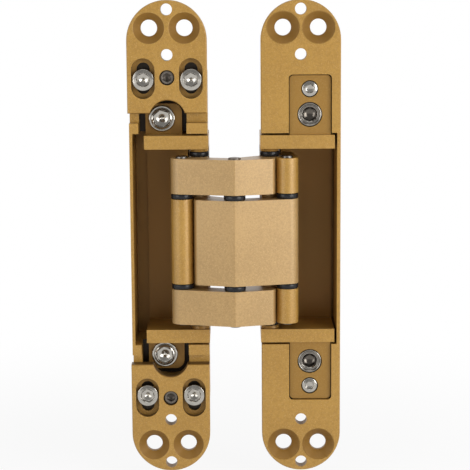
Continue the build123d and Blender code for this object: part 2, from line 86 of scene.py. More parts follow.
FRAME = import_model()
CAD_LOW, CAD_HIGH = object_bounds()
NODES = FRAME["nodes"]
CAD_BODY = {node: piece["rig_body"] for node, piece in NODES.items()}

PLATE_LOW, PLATE_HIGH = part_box("jamb_end_plate_top")
HOUSING_LOW, HOUSING_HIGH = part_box("door_housing")

MM = 0.001
ALONG_X = 0
ALONG_Z = 2
OUT_OF_LEAF = Vector((0, -1, 0))
UP_THE_LEAF = Vector((0, 0, 1))
PHOTO_PIXELS = 470

# The visible face of both leaves, the stadium shape of their outline, and the reach of the plates' slots
FACE_Y = PLATE_LOW.y
LEAF_X = {"jamb": (PLATE_LOW.x + PLATE_HIGH.x) / 2, "door": (HOUSING_LOW.x + HOUSING_HIGH.x) / 2}
LEAF_END_R = (PLATE_HIGH.x - PLATE_LOW.x) / 2
LEAF_END_Z = PLATE_HIGH.z - LEAF_END_R
SLOT_END_Z = 61.2 * MM

# Recessed faces, which get painted shade: the name of their mark, the rim of a leaf that doesn't count, how
# far off an opposite wall is looked for, and the depths between which the painted shade of a recess turns
# into that of a cup
RECESSED = "recessed"
LIP = 0.05 * MM
WALL = 0.8 * MM
ACROSS = 80 * MM
SHALLOW = 8 * MM
DEEP = 14 * MM

# How far a face is turned along an axis: leaning that way, mostly that way, or squarely
LEANING, MOSTLY, SQUARELY = 0.5, 0.7, 0.9

# Crevices round the tabs and under the end plates, which get a darker painted shade: where that shade starts
# behind each leaf's face and along it
SHADE_FROM = {"jamb": 7.0 * MM, "door": 1.3 * MM}
SHADE_TOP = 0.2 * MM
SHADE_FULL = 0.6 * MM
CUP_END_Z = 36.0 * MM
UNDER_PLATE_Z = PLATE_LOW.z + 1.1 * MM
WINDOW_END_Z = 56.0 * MM

# Levels of recess, which set how much painted shade a face gets: a shallow floor and its depth, a recess, a
# slot's wall, a crevice, a socket
ON_FLOOR, IN_RECESS, ON_WALL, IN_CREVICE = 0.62, 1.0, 1.6, 2.0
FLOOR_TO = {"jamb": 2.8 * MM, "door": 1.1 * MM}
SOCKET_SHADE = 0.6

# Meshes: points that are one, faces that are flat, cuts that pass a face, and steps of round shapes
MERGE = 0.001 * MM
FLAT = radians(0.5)
OVERLAP = 0.01 * MM
ROUND = 64
PIN_STEPS = 48
WASHER_STEPS = 56
RIM_STEPS = 4

# Corners that are sharper than these angles are rounded
CASTING_CORNER = radians(30)
ARM_CORNER = radians(40)
SCREW_CORNER = radians(35)
TURNED_CORNER = radians(30)
PIN_CORNER = radians(20)
WASHER_CORNER = radians(40)

# Screws: the gap under their heads, and shares of their heads, sockets and shanks
SEAT_GAP = 0.03 * MM
DRILL_SHARE = 0.95
DRILL_ANGLE = radians(30)
SOCKET_SHARE = 0.6
FLANGE_SHARE = 0.35
GROOVE_SHARE = 0.2
TIP_SHARE = 0.2
GRUB_BEVEL_SHARE = 0.16
GRUB_SOCKET_SHARE = 0.5

# Rings in an adjuster's head: share of its radius, and share of the dish's depth
ADJUSTER_RINGS = ((0.91, 0.0), (0.85, 0.35), (0.81, 0.95), (0.75, 1.0), (0.72, 0.5), (0.65, 0.6), (0.60, 1.0))
ADJUSTER_SOCKET_SHARE = 0.75

# Ends of the pins: shares of the chamfer and of the radius
CROWN_SHARE = 0.4
CROWN_FALL = 0.2
CROWN_R_SHARE = 0.45
PIN_EDGE_SHARE = 0.25

# Satin gold: cycles per metre of its clouds, grain and flakes, and how they show
GOLD_CLOUDS, GOLD_GRAIN, GOLD_FLAKES = 60.0, 1500.0, 3600.0
CLOUD_SHARE = 0.35
GOLD_TONES = (0.37, 0.62)
FLAKE_EDGE = (0.58, 0.74)
FLAKE_SHARE = 0.55
SHADE_AND_DULL_SHARE = 0.95
LACQUER_LOST = 0.5
GOLD_SHEEN = 0.3
GOLD_VARIES = 0.10
GRAIN_RELIEF = 0.7
GOLD_BUMPS = (0.22, 0.04 * MM)

# Steels: cycles per metre of their haze and marks, their tones, gloss and bumps
STEEL_TONES = (0.3, 0.7)
PLATING_HAZE, PLATING_POLISH = 700.0, 5200.0
PLATING_SHADE = 0.86
PLATING_VARIES = 0.10
PLATING_BUMPS = (0.05, 0.02 * MM)
GRINDING_HAZE, GRINDING_LINES = 500.0, 6000.0
GRINDING_STRETCH = (0.1, 0.1, 1.0)
GRINDING_SHADE = 0.75
GRINDING_VARIES = 0.12
GRINDING_BUMPS = (0.12, 0.02 * MM)
BLACKING_HAZE, BLACKING_WEAR = 900.0, 2400.0
WORN_EDGE = (0.62, 0.80)
WORN_BRIGHT = 4.0
BLACKING_METAL = 0.6
BLACKING_VARIES = 0.15
BLACKING_BUMPS = (0.10, 0.03 * MM)

# Nylon: cycles per metre of its clouds and grain, and how they show
NYLON_CLOUDS, NYLON_GRAIN = 250.0, 2600.0
NYLON_PALE = 2.2
NYLON_SHEEN = 0.25
NYLON_VARIES = 0.12
NYLON_BUMPS = (0.08, 0.03 * MM)

# Softboxes: their places round the camera's side, and their sizes in metres
SIDE_AZIMUTH = radians(49)
SIDE_BOX = {"elevation": radians(10), "distance": 0.62, "width": 0.40, "height": 0.36}
TOP_AZIMUTH = radians(5)
TOP_BOX = {"elevation": radians(68), "distance": 0.80, "width": 0.70, "height": 0.45}

# Floor and sky: sizes in metres, the paint, how white it shows, and where the sky's front begins
FLOOR_DROP = 3.5 * MM
FLOOR_R = 4.0
FLOOR_SIDES = 96
FLOOR_MOTTLE = 3.0
FLOOR_PAINT = ((0.86, 0.86, 0.86), (0.90, 0.90, 0.90))
NEAR_WHITE = 0.91
WHITE_EDGE = (0.05, 0.25)
FRONT_EDGE = (-0.30, 0.50)
WHITE = (1.0, 1.0, 1.0)
CLIP_START = 10 * MM

CASTINGS = (
    "jamb_end_plate_top",
    "jamb_end_plate_bottom",
    "jamb_cup",
    "jamb_yoke",
    "door_housing",
    "door_yoke",
)
END_PLATES = ("jamb_end_plate_top", "jamb_end_plate_bottom")
YOKES = ("jamb_yoke", "door_yoke")
ARMS = ("outer_arm", "centre_arm")
LINKS = ("centre_link", "outer_link_upper", "outer_link_lower")
PINS = ("centre_link_pin", "outer_link_pin", "jamb_arm_pin", "door_arm_pin", "jamb_link_pin", "door_link_pin")
WASHERS = (
    "centre_washers",
    "centre_link_washers",
    "outer_link_washers",
    "jamb_boss_washers",
    "door_boss_washers",
)
ADJUSTERS = ("depth_adjuster_top", "depth_adjuster_bottom")


def length_of(label, millimetres, about):
    """A length that a user would change."""
    return bpy.props.FloatProperty(
        name=label,
        description=about,
        default=millimetres * MM,
        min=0.0,
        precision=5,
        subtype="DISTANCE",
        unit="LENGTH",
    )


def angle_of(label, degrees, about):
    """An angle that a user would change."""
    return bpy.props.FloatProperty(
        name=label, description=about, default=radians(degrees), subtype="ANGLE", unit="ROTATION"
    )


def colour_of(label, default, about):
    """A linear colour that a user would change."""
    return bpy.props.FloatVectorProperty(
        name=label, description=about, default=default, subtype="COLOR", size=3, min=0.0, max=1.0
    )


def share_of(label, default, about):
    """A share from none to all."""
    return bpy.props.FloatProperty(
        name=label, description=about, default=default, subtype="FACTOR", min=0.0, max=1.0
    )


def power_of(label, watts, about):
    """The power of a lamp."""
    return bpy.props.FloatProperty(
        name=label, description=about, default=watts, min=0.0, subtype="POWER", unit="POWER"
    )


def pixels_of(label, default, about):
    """A shift in the picture."""
    return bpy.props.FloatProperty(name=label, description=about, default=default, subtype="PIXEL")


class HingeFinishes(bpy.types.PropertyGroup):
    """Colours and gloss of the hinge's finishes."""

    gold: colour_of("Gold", (0.475, 0.264, 0.049), "Satin gold coating of the castings")
    gold_shade: colour_of("Gold shade", (0.395, 0.212, 0.036), "Deeper tone in the coating")
    # The arms' paler coating is partly painted sheen: the whitish light off their lacquer is painted into the
    # colour
    arm_gold_with_sheen: colour_of("Arm gold", (0.492, 0.306, 0.115), "Paler coating of the arms, partly painted sheen")
    arm_shade_with_sheen: colour_of("Arm shade", (0.407, 0.250, 0.090), "Deeper tone in the arms' coating")
    flake: colour_of("Flake", (0.66, 0.46, 0.21), "Pale metal flake in the coating")
    # Painted shade: the recess and cup tones darken recessed faces and cups, and the crevice shade darkens
    # crevices and sockets
    recess: colour_of("Recess", (0.272, 0.140, 0.025), "Painted shade in the recesses of the castings")
    cup: colour_of("Cup", (0.345, 0.178, 0.036), "Painted shade inside the cups")
    painted_shade: colour_of("Crevice shade", (0.030, 0.019, 0.009), "Near-black painted shade in crevices and sockets")
    gold_metal: share_of("Gold metal", 0.20, "How metallic the coating is")
    gold_roughness: share_of("Gold roughness", 0.48, "Satin of the coating")
    lacquer: share_of("Lacquer", 0.65, "Clear lacquer over the coating")
    lacquer_roughness: share_of("Lacquer roughness", 0.34, "Satin of the lacquer")
    nickel: colour_of("Nickel", (0.47, 0.445, 0.40), "Bright plating of the screws")
    turned_steel: colour_of("Turned steel", (0.30, 0.278, 0.246), "Dull turned steel of the depth adjusters")
    nickel_roughness: share_of("Nickel roughness", 0.18, "Gloss of the plating")
    pin_steel: colour_of("Pin steel", (0.17, 0.165, 0.158), "Ground steel of the pins")
    pin_roughness: share_of("Pin roughness", 0.22, "Gloss of the ground steel")
    black_steel: colour_of("Black steel", (0.17, 0.148, 0.125), "Blackened grub screws and centre pin")
    black_roughness: share_of("Black roughness", 0.30, "Gloss of the blackened steel")
    nylon: colour_of("Nylon", (0.010, 0.010, 0.011), "Black washers")
    nylon_roughness: share_of("Nylon roughness", 0.18, "Gloss of the washers")


class HingeSizes(bpy.types.PropertyGroup):
    """Small sizes that the solids leave out."""

    casting_edge: length_of("Casting edge", 0.08, "Radius on the edges of the leaves and yokes")
    linkage_edge: length_of("Arm edge", 0.25, "Radius on the edges of the arms and links")
    screw_edge: length_of("Screw edge", 0.04, "Radius on the edges of the sockets")
    head_edge: length_of("Head edge", 0.3, "Radius on the rims of the screws' heads")
    head_fall: length_of("Head fall", 0.28, "How much lower the top of a head is at its rim")
    socket_flare: length_of("Socket flare", 0.1, "Width of the flared mouth round a socket's corners")
    head_gap: length_of("Head gap", 0.15, "Extra gap round the sunk heads of the lock screws and adjusters")
    clamp_shank: length_of("Clamp screw shank", 4.0, "Diameter of the height clamp screws' shanks")
    clamp_head: length_of("Clamp screw head", 2.2, "Height of the height clamp screws' heads")
    clamp_hex: length_of("Clamp screw socket", 4.0, "Across the flats of the height clamp screws' sockets")
    side_shank: length_of("Side screw shank", 5.0, "Diameter of the side clamp screws' shanks")
    side_head: length_of("Side screw head", 2.25, "Height of the side clamp screws' heads")
    side_flange: length_of("Side screw flange", 0.9, "Width of the flange round the side clamp screws' heads")
    side_hex: length_of("Side screw socket", 5.0, "Across the flats of the side clamp screws' sockets")
    lock_shank: length_of("Lock screw shank", 3.0, "Diameter of the depth lock screws' shanks")
    lock_head: length_of("Lock screw head", 1.65, "Height of the depth lock screws' heads")
    lock_hex: length_of("Lock screw socket", 2.5, "Across the flats of the depth lock screws' sockets")
    grub_hex: length_of("Grub screw socket", 2.5, "Across the flats of the grub screws' sockets")
    collar_height: length_of("Adjuster collar", 4.8, "Height of the depth adjusters' collars")
    journal: length_of("Adjuster journal", 3.6, "Diameter of the depth adjusters' journals")
    rivet: length_of("Adjuster rivet", 5.0, "Diameter of the depth adjusters' riveted ends")
    rivet_height: length_of("Adjuster rivet height", 0.8, "Height of the depth adjusters' riveted ends")
    adjuster_dish: length_of("Adjuster dish", 0.5, "Depth of the dish in the depth adjusters' heads")
    adjuster_hex: length_of("Adjuster socket", 4.0, "Across the flats of the depth adjusters' sockets")
    pin_chamfer: length_of("Pin chamfer", 0.3, "Chamfer at the ends of the pins")
    washer_edge: length_of("Washer edge", 0.3, "Radius on the edges of the washers")


class HingeStudio(bpy.types.PropertyGroup):
    """Camera, sky and lamps."""

    distance: length_of("Distance", 560.0, "From the camera to the hinge")
    elevation: angle_of("Elevation", 9.0, "Height of the camera above the hinge")
    lens: bpy.props.FloatProperty(
        name="Lens", description="Focal length", default=127.7, subtype="DISTANCE_CAMERA", unit="CAMERA"
    )
    aside: pixels_of("Aside", -0.1, "How far right of centre the hinge stands in the picture")
    down: pixels_of("Down", 5.1, "How far below centre the hinge stands in the picture")
    roll: angle_of("Roll", -0.37, "Turn of the camera about its view")
    sky: share_of("Sky", 0.27, "Light from all round")
    front_sky: share_of("Front sky", 0.36, "How much of that light is left at the front")
    right_lamp: power_of("Right lamp", 2.75, "Power of the right softbox")
    left_lamp: power_of("Left lamp", 1.28, "Power of the left softbox")
    top_lamp: power_of("Top lamp", 1.0, "Power of the overhead softbox")


class Wire:
    """A socket in a node tree. Arithmetic on it adds Math nodes."""

    def __init__(self, tree, socket):
        self.tree = tree
        self.socket = socket

    def reckon(self, operation, first, second):
        """The result of a Math node."""
        return self.tree.node("ShaderNodeMath", {"operation": operation}, {0: first, 1: second})

    def __add__(self, other):
        return self.reckon("ADD", self, other)

    def __radd__(self, other):
        return self.reckon("ADD", other, self)

    def __sub__(self, other):
        return self.reckon("SUBTRACT", self, other)

    def __rsub__(self, other):
        return self.reckon("SUBTRACT", other, self)

    def __mul__(self, other):
        return self.reckon("MULTIPLY", self, other)

    def __rmul__(self, other):
        return self.reckon("MULTIPLY", other, self)


class Tree:
    """A node tree in the making."""

    def __init__(self, tree):
        self.tree = tree
        tree.nodes.clear()

    def node(self, kind, settings=None, values=None, out=0):
        """Add a node with its settings, then set or link its sockets, and return one of its outputs."""
        made = self.tree.nodes.new(kind)
        for key, value in (settings or {}).items():
            setattr(made, key, value)
        for key, value in (values or {}).items():
            socket = made.inputs[key] if isinstance(key, int) else self.find(made.inputs, key)
            if isinstance(value, Wire):
                self.tree.links.new(value.socket, socket)
            else:
                socket.default_value = value
        if not made.outputs:
            return None
        outlet = made.outputs[out] if isinstance(out, int) else self.find(made.outputs, out)
        return Wire(self, outlet)

    def find(self, sockets, key):
        """A socket by its identifier, or else by its name."""
        for socket in sockets:
            if socket.identifier == key:
                return socket
        return sockets[key]

    def blend(self, factor, first, second):
        """A colour between two colours."""
        values = {"Factor_Float": factor, "A_Color": first, "B_Color": second}
        return self.node("ShaderNodeMix", {"data_type": "RGBA"}, values, out="Result_Color")

    def ramp(self, factor, low, high):
        """A value from 0 to 1 as the factor goes from low to high."""
        values = {"Value": factor, "From Min": low, "From Max": high}
        return self.node("ShaderNodeMapRange", {"interpolation_type": "SMOOTHSTEP"}, values)

    def noise(self, place, scale, detail=2.0, roughness=0.5):
        """Smooth noise at so many cycles per metre."""
        values = {"Vector": place, "Scale": scale, "Detail": detail, "Roughness": roughness}
        return self.node("ShaderNodeTexNoise", {}, values, out="Fac")


def opaque(colour):
    """A colour with full alpha, as colour sockets take it."""
    return (*colour, 1.0)


def tinted(colour, share):
    """A colour that is darkened or brightened to a share of itself."""
    return tuple(part * share for part in colour)


def astray(noise, spread):
    """A value that strays to both sides of nothing with a noise."""
    return spread * (noise - 0.5)


def new_finish(name):
    """An empty material, its tree and its object coordinates."""
    finish = bpy.data.materials.new(name)
    finish.use_nodes = True
    tree = Tree(finish.node_tree)
    place = tree.node("ShaderNodeTexCoord", out="Object")
    return finish, tree, place


def surface(tree, values):
    """Close a material with its main shader."""
    shader = tree.node("ShaderNodeBsdfPrincipled", {}, values)
    tree.node("ShaderNodeOutputMaterial", {}, {"Surface": shader})


def bumps(tree, height, strength, depth):
    """A surface normal raised by a height that varies from 0 to 1."""
    return tree.node("ShaderNodeBump", {}, {"Height": height, "Strength": strength, "Distance": depth})


def gold_finish(name, gold, shade, looks):
    """Satin gold coating on cast zinc: faint clouds, cast grain and pale metal flake.

    Faces that are marked as recessed show a painted shade, which changes from the recess tone to the cup tone
    as they lie deeper, and a thinner lacquer, and faces that are marked as crevices get a near-black painted
    shade.
    """
    finish, tree, place = new_finish(name)
    cloud = tree.noise(place, GOLD_CLOUDS, detail=3.0)
    grain = tree.noise(place, GOLD_GRAIN, detail=3.0, roughness=0.6)
    speck = tree.noise(place, GOLD_FLAKES, detail=1.0)
    tone = tree.ramp(cloud * CLOUD_SHARE + grain * (1 - CLOUD_SHARE), *GOLD_TONES)
    body = tree.blend(tone, opaque(shade), opaque(gold))
    coat = tree.blend(tree.ramp(speck, *FLAKE_EDGE) * FLAKE_SHARE, body, opaque(looks.flake))
    marked = tree.node("ShaderNodeAttribute", {"attribute_name": RECESSED}, out="Fac")
    inward = tree.node("ShaderNodeSeparateXYZ", {}, {"Vector": place}, out="Y") - FACE_Y
    # Painted shade on recessed faces, with a thinner lacquer there, and a near-black painted shade in
    # crevices
    shade_and_dull = SHADE_AND_DULL_SHARE * tree.ramp(marked, 0.0, IN_RECESS)
    crevice_shade = tree.ramp(marked, IN_RECESS, IN_CREVICE) * tree.ramp(inward, SHADE_TOP, SHADE_FULL)
    recess = tree.blend(tree.ramp(inward, SHALLOW, DEEP), opaque(looks.recess), opaque(looks.cup))
    recess_shaded = tree.blend(shade_and_dull, coat, recess)
    surface(
        tree,
        {
            "Base Color": tree.blend(crevice_shade, recess_shaded, opaque(looks.painted_shade)),
            "Metallic": looks.gold_metal,
            "Roughness": looks.gold_roughness + astray(grain, GOLD_VARIES),
            "Specular IOR Level": GOLD_SHEEN,
            "Coat Weight": looks.lacquer - LACQUER_LOST * shade_and_dull,
            "Coat Roughness": looks.lacquer_roughness,
            "Normal": bumps(tree, grain * GRAIN_RELIEF + speck * (1 - GRAIN_RELIEF), *GOLD_BUMPS),
        },
    )
    return finish


def socket_shaded(tree, clean, looks):
    """A colour with painted shade on the faces that are marked as recessed, such as the faces in a socket."""
    marked = tree.node("ShaderNodeAttribute", {"attribute_name": RECESSED}, out="Fac")
    return tree.blend(marked, clean, opaque(looks.painted_shade))


def plated_finish(name, plating, looks):
    """Bright plating with a faint haze and fine polish, and painted shade in the recesses."""
    finish, tree, place = new_finish(name)
    haze = tree.noise(place, PLATING_HAZE, detail=3.0)
    polish = tree.noise(place, PLATING_POLISH, detail=1.0)
    shade = tinted(plating, PLATING_SHADE)
    clean = tree.blend(tree.ramp(haze, *STEEL_TONES), opaque(shade), opaque(plating))
    surface(
        tree,
        {
            "Base Color": socket_shaded(tree, clean, looks),
            "Metallic": 1.0,
            "Roughness": looks.nickel_roughness + astray(haze, PLATING_VARIES),
            "Normal": bumps(tree, polish, *PLATING_BUMPS),
        },
    )
    return finish


def ground_steel_finish(looks):
    """Ground pin steel: rings of fine grinding along the pin."""
    finish, tree, place = new_finish("ground_steel")
    stretched = tree.node("ShaderNodeMapping", {}, {"Vector": place, "Scale": GRINDING_STRETCH})
    lines = tree.noise(stretched, GRINDING_LINES, detail=2.0)
    haze = tree.noise(place, GRINDING_HAZE)
    shade = tinted(looks.pin_steel, GRINDING_SHADE)
    ground = tree.blend(tree.ramp(lines, *STEEL_TONES), opaque(shade), opaque(looks.pin_steel))
    surface(
        tree,
        {
            "Base Color": ground,
            "Metallic": 1.0,
            "Roughness": looks.pin_roughness + GRINDING_VARIES * haze,
            "Normal": bumps(tree, lines, *GRINDING_BUMPS),
        },
    )
    return finish


def black_steel_finish(looks):
    """Blackened steel with worn specks, and painted shade in the recesses."""
    finish, tree, place = new_finish("black_steel")
    haze = tree.noise(place, BLACKING_HAZE, detail=3.0)
    worn = tree.ramp(tree.noise(place, BLACKING_WEAR, detail=2.0), *WORN_EDGE)
    bare = tinted(looks.black_steel, WORN_BRIGHT)
    surface(
        tree,
        {
            "Base Color": socket_shaded(tree, tree.blend(worn, opaque(looks.black_steel), opaque(bare)), looks),
            "Metallic": BLACKING_METAL,
            "Roughness": looks.black_roughness + BLACKING_VARIES * haze,
            "Normal": bumps(tree, haze, *BLACKING_BUMPS),
        },
    )
    return finish


def nylon_finish(looks):
    """Black nylon with a fine moulded grain."""
    finish, tree, place = new_finish("black_nylon")
    grain = tree.noise(place, NYLON_GRAIN, detail=2.0)
    cloud = tree.noise(place, NYLON_CLOUDS, detail=2.0)
    pale = tinted(looks.nylon, NYLON_PALE)
    surface(
        tree,
        {
            "Base Color": tree.blend(cloud, opaque(looks.nylon), opaque(pale)),
            "Roughness": looks.nylon_roughness + NYLON_VARIES * grain,
            "Specular IOR Level": NYLON_SHEEN,
            "Normal": bumps(tree, grain, *NYLON_BUMPS),
        },
    )
    return finish


def deselect():
    """Nothing is selected, and no piece is being edited."""
    if bpy.context.mode != "OBJECT":
        bpy.ops.object.mode_set(mode="OBJECT")
    bpy.ops.object.select_all(action="DESELECT")


def pick(piece):
    """One piece is selected and active."""
    deselect()
    piece.select_set(True)
    bpy.context.view_layer.objects.active = piece


def solid_boxes(node, axes):
    """The boxes of a node's separate solids, which lie to either side of its middle along some axes."""
    low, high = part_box(node)
    middle = (low + high) / 2
    groups = {}
    for vertex in NODES[node].data.vertices:
        key = tuple(vertex.co[axis] > middle[axis] for axis in axes)
        groups.setdefault(key, []).append(vertex.co)
    boxes = []
    for key in sorted(groups):
        corners = list(zip(*groups[key]))
        boxes.append((Vector(map(min, corners)), Vector(map(max, corners))))
    return boxes


def turned(name, outline, axis, steps):
    """Draw a profile point by point beside an axis through the origin, and spin it round.

    The outline's points are a radius and a distance along the axis.
    """
    spots = [Vector((radius, 0, 0)) + axis * along for radius, along in outline]
    deselect()
    bpy.ops.mesh.primitive_plane_add(size=MM)
    piece = bpy.context.active_object
    piece.name = name
    bpy.ops.object.mode_set(mode="EDIT")
    bpy.ops.mesh.merge(type="CENTER")
    bpy.ops.transform.translate(value=spots[0])
    for before, after in zip(spots, spots[1:]):
        bpy.ops.mesh.extrude_vertices_move(TRANSFORM_OT_translate={"value": after - before})
    bpy.ops.mesh.select_all(action="SELECT")
    bpy.ops.mesh.spin(steps=steps, angle=2 * pi, center=(0, 0, 0), axis=axis)
    bpy.ops.mesh.select_all(action="SELECT")
    bpy.ops.mesh.remove_doubles(threshold=MERGE)
    bpy.ops.mesh.normals_make_consistent(inside=False)
    bpy.ops.object.mode_set(mode="OBJECT")
    return piece


def carve(piece, tool):
    """Cut one shape out of a piece."""
    pick(piece)
    cut = piece.modifiers.new("carve", "BOOLEAN")
    cut.operation = "DIFFERENCE"
    cut.solver = "EXACT"
    cut.object = tool
    bpy.ops.object.modifier_apply(modifier=cut.name)
    bpy.data.objects.remove(tool)


def soften(piece, radius, angle, segments=2):
    """Round a piece's sharp edges and shade it smooth between them."""
    pick(piece)
    edge = piece.modifiers.new("soften", "BEVEL")
    edge.width = radius
    edge.segments = segments
    edge.limit_method = "ANGLE"
    edge.angle_limit = angle
    bpy.ops.object.modifier_apply(modifier=edge.name)
    bpy.ops.object.shade_smooth_by_angle(angle=angle)
    flat = piece.modifiers.new("even shading", "WEIGHTED_NORMAL")
    flat.keep_sharp = True
    bpy.ops.object.modifier_apply(modifier=flat.name)


def cut_socket(piece, flats, top, depth, flare):
    """Cut a hexagon socket with a flared mouth and a drilled end into the top of a piece."""
    corner = flats / sqrt(3)
    mouth = corner + flare
    drill = flats / 2 * DRILL_SHARE
    point = drill * tan(DRILL_ANGLE)
    deselect()
    bpy.ops.mesh.primitive_cylinder_add(
        vertices=6, radius=corner, depth=2 * depth, location=OUT_OF_LEAF * top, rotation=(pi / 2, 0, 0)
    )
    carve(piece, bpy.context.active_object)
    deselect()
    bpy.ops.mesh.primitive_cone_add(
        vertices=ROUND,
        radius1=drill,
        radius2=0,
        depth=point,
        location=OUT_OF_LEAF * (top - depth - point / 2 + OVERLAP),
        rotation=(-pi / 2, 0, 0),
    )
    carve(piece, bpy.context.active_object)
    deselect()
    bpy.ops.mesh.primitive_cone_add(
        vertices=ROUND,
        radius1=0,
        radius2=2 * mouth,
        depth=2 * mouth,
        location=OUT_OF_LEAF * top,
        rotation=(pi / 2, 0, 0),
    )
    carve(piece, bpy.context.active_object)


def in_socket(face, flats, below):
    """Whether a face of a screw at the origin lies in its socket, below some depth."""
    return face.center.y > below and face.center.xz.length < flats / sqrt(3)


def set_at(pattern, name, places):
    """Copies of a pattern at several places, joined into one piece. The pattern goes."""
    copies = []
    for place, turn in places:
        copied = pattern.copy()
        copied.data = pattern.data.copy()
        copied.data.transform(Matrix.Translation(place) @ Matrix.Rotation(turn, 4, OUT_OF_LEAF))
        bpy.context.scene.collection.objects.link(copied)
        copies.append(copied)
    bpy.data.objects.remove(pattern)
    deselect()
    for copied in copies:
        copied.select_set(True)
    bpy.context.view_layer.objects.active = copies[0]
    if len(copies) > 1:
        bpy.ops.object.join()
    piece = bpy.context.active_object
    piece.name = name
    return piece


def dress(piece, node, finish):
    """Give a piece its finish, and let it stand for its solid."""
    piece.data.materials.clear()
    piece.data.materials.append(finish)
    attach(piece, CAD_BODY[node])
    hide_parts(node)


def casting(node, radius, angle, splits=()):
    """A copy of a solid with its faces merged, split at some heights, and its edges rounded."""
    solid = NODES[node]
    piece = solid.copy()
    piece.data = solid.data.copy()
    for key in list(piece.keys()):
        del piece[key]
    piece.parent = None
    piece.name = node + "_casting"
    bpy.context.scene.collection.objects.link(piece)
    pick(piece)
    bpy.ops.object.mode_set(mode="EDIT")
    bpy.ops.mesh.select_all(action="SELECT")
    bpy.ops.mesh.customdata_custom_splitnormals_clear()
    bpy.ops.mesh.remove_doubles(threshold=MERGE)
    bpy.ops.mesh.dissolve_limited(angle_limit=FLAT)
    for height in splits:
        bpy.ops.mesh.select_all(action="SELECT")
        bpy.ops.mesh.bisect(plane_co=UP_THE_LEAF * height, plane_no=UP_THE_LEAF)
    bpy.ops.object.mode_set(mode="OBJECT")
    soften(piece, radius, angle)
    return piece


def recess_of(piece, node, face):
    """How far a face lies in a recess: behind the leaf's face, inside its outline and turned inwards."""
    leaf = node.split("_")[0]
    spot = face.center
    depth = spot.y - FACE_Y
    past_end = max(0.0, abs(spot.z) - LEAF_END_Z)
    inset = LEAF_END_R - Vector((spot.x - LEAF_X[leaf], past_end)).length
    if depth < LIP or inset < WALL or face.normal.y > LEANING:
        return 0.0
    facing_out = face.normal.y < -SQUARELY
    if facing_out and depth < FLOOR_TO[leaf]:
        return ON_FLOOR
    if node in END_PLATES and abs(spot.z) < SLOT_END_Z:
        return ON_WALL
    # The cup's face under the end plates gets the crevice level of painted shade
    if node == "jamb_cup" and facing_out and depth < SHADE_FROM[leaf]:
        return IN_CREVICE if abs(spot.z) > UNDER_PLATE_Z else 0.0
    inwards = node in YOKES or (spot.x - LEAF_X[leaf]) * face.normal.x < 0
    walled = face.normal.y < -LEANING or (inwards and abs(face.normal.x) > MOSTLY)
    if not walled and not piece.ray_cast(spot + face.normal * LIP, face.normal, distance=ACROSS)[0]:
        return 0.0
    # Deep faces round the tabs get the crevice level of painted shade
    if depth > SHADE_FROM[leaf] and CUP_END_Z < abs(spot.z) < WINDOW_END_Z:
        return IN_CREVICE
    return IN_RECESS


def mark(piece, marks):
    """Keep how far each face of a piece is recessed."""
    layer = piece.data.attributes.new(RECESSED, "FLOAT", "FACE")
    layer.data.foreach_set("value", marks)


def rounded_rim(radius, top, edge):
    """Points of a quarter round from the side of a disc to its top."""
    leans = [pi / 2 * step / RIM_STEPS for step in range(RIM_STEPS + 1)]
    return [(radius - edge + edge * cos(lean), top - edge + edge * sin(lean)) for lean in leans]


def socket_screw(name, head_r, head_height, shank_r, reach, flange, flats, sizes):
    """A socket screw seated at the origin with its head out of the leaf."""
    rim = sizes.head_edge
    crown_r = head_r - flange
    tip = shank_r * TIP_SHARE
    outline = [(0, -reach), (shank_r - tip, -reach), (shank_r, tip - reach)]
    outline += [(shank_r, SEAT_GAP), (head_r, SEAT_GAP)]
    if flange:
        shelf = head_height * FLANGE_SHARE
        groove = flange * GROOVE_SHARE
        outline += rounded_rim(head_r, shelf, rim)
        outline += [(crown_r + groove, shelf), (crown_r + groove, shelf - groove), (crown_r, shelf - groove)]
    outline += rounded_rim(crown_r, head_height - sizes.head_fall, rim)
    outline += [(flats / sqrt(3), head_height), (0, head_height)]
    piece = turned(name, outline, OUT_OF_LEAF, ROUND)
    cut_socket(piece, flats, head_height, head_height * SOCKET_SHARE, sizes.socket_flare)
    soften(piece, sizes.screw_edge, SCREW_CORNER)
    return piece


class ScrewGroup:
    """What the operators for socket screws share."""

    bl_options = {"REGISTER", "UNDO"}
    axes = (ALONG_Z,)
    turns = (0.0, 0.0)

    def build(self, context, node, head_height, shank, flats, flange=0.0, gap=0.0):
        """Make one screw, and set it at each place of its solids."""
        boxes = solid_boxes(node, self.axes)
        low, high = boxes[0]
        head_r = (high.x - low.x) / 2 - gap
        reach = high.y - low.y - head_height
        sizes = context.scene.hinge_sizes
        pattern = socket_screw(node, head_r, head_height, shank / 2, reach, flange, flats, sizes)
        places = []
        for (low, high), turn in zip(boxes, self.turns):
            seat = Vector(((low.x + high.x) / 2, high.y - reach, (low.z + high.z) / 2))
            places.append((seat, radians(turn)))
        piece = set_at(pattern, node + "_turned", places)
        looks = context.scene.hinge_finishes
        dress(piece, node, plated_finish("bright_nickel", looks.nickel, looks))
        return {"FINISHED"}


class HINGE_OT_castings(bpy.types.Operator):
    """Finish the end plates, cup, housing and yokes"""

    bl_idname = "hinge.castings"
    bl_label = "Leaves and Yokes"
    bl_options = {"REGISTER", "UNDO"}

    def execute(self, context):
        looks = context.scene.hinge_finishes
        finish = gold_finish("satin_gold", looks.gold, looks.gold_shade, looks)
        for node in CASTINGS:
            splits = (UNDER_PLATE_Z, -UNDER_PLATE_Z) if node == "jamb_cup" else ()
            piece = casting(node, context.scene.hinge_sizes.casting_edge, CASTING_CORNER, splits)
            # The marks set where painted shade falls on each casting
            mark(piece, [recess_of(piece, node, face) for face in piece.data.polygons])
            dress(piece, node, finish)
        return {"FINISHED"}


